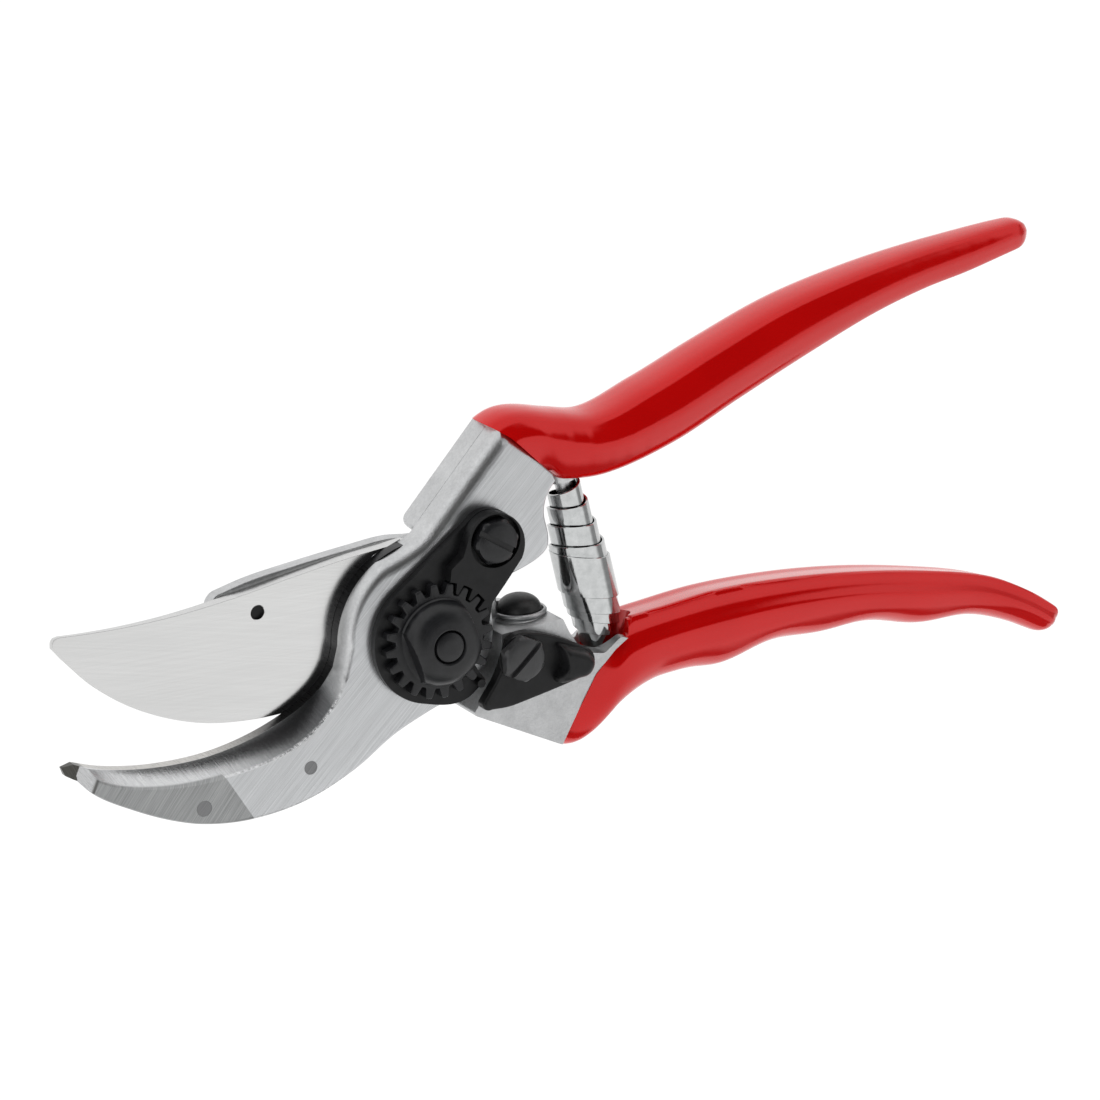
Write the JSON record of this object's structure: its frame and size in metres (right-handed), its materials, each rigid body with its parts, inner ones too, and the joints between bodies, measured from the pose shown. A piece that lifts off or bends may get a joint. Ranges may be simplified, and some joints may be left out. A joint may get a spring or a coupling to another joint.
{
  "type": "bypass pruning shears",
  "caption": "Bypass hand pruner, drawn open: curved cutting blade, hooked counter-blade, forged aluminium handles with red coating, toothed pivot nut, thumb catch and volute spring.",
  "frame": {"origin": "on the pivot axis, in the plane of the bolt head's lower face, on which the shears rest", "axes": "+Z along the pivot axis towards the toothed nut, +X along the tool towards the grips, +Y towards the anvil side's grip"},
  "size_m": [0.2105, 0.0842, 0.0217],
  "materials": {
    "forged_aluminium": "blasted, with ground flats",
    "blade_steel": "fine ground",
    "red_coating": "semi-gloss dipped coating",
    "black_steel": "semi-gloss black oxide",
    "buffer_rubber": "matte sheen",
    "spring_chrome": "polished",
    "bush_bronze": "plain"
  },
  "bodies": {
    "blade_side": {"blade_handle": "forged_aluminium", "cutting_blade": "blade_steel", "blade_screw": "black_steel", "blade_grip": "red_coating", "buffer": "buffer_rubber", "catch_screw": "black_steel", "catch_nut": "black_steel", "catch_washer": "black_steel", "pivot_bush": "bush_bronze"},
    "anvil_side": {"anvil_handle": "forged_aluminium", "anvil_blade": "blade_steel", "tip_rivet": "blade_steel", "heel_rivet": "blade_steel", "anvil_grip": "red_coating", "locking_segment": "black_steel", "segment_screw": "black_steel", "pivot_nut": "black_steel", "pivot_bolt": "black_steel"},
    "thumb_catch": {"thumb_catch": "black_steel"},
    "spring": {"volute_spring": "spring_chrome"}
  },
  "joints": [
    {"name": "handles_pivot", "type": "hinge", "parent": "blade_side", "child": "anvil_side", "pos_m": [0, 0, 0.008], "axis": [0, 0, 1], "range_deg": [-18.2, 0], "stiffness_Nm_per_rad": 0.6, "springref_deg": 6.88, "deforming": ["volute_spring"]},
    {"name": "catch_pivot", "type": "hinge", "parent": "blade_side", "child": "thumb_catch", "pos_m": [0.0155, -0.0067, 0.0168], "axis": [0, 0, 1], "range_deg": [-16, 0]},
    {"name": "spring_tilt", "type": "hinge", "parent": "blade_side", "child": "spring", "pos_m": [0.0377, -0.0146, 0.0078], "axis": [0, 0, 1], "range_deg": [-8.3, 0]}
  ],
  "couplings": [
    {"joint": "spring_tilt", "follows": "handles_pivot", "ratio": 0.4486}
  ]
}
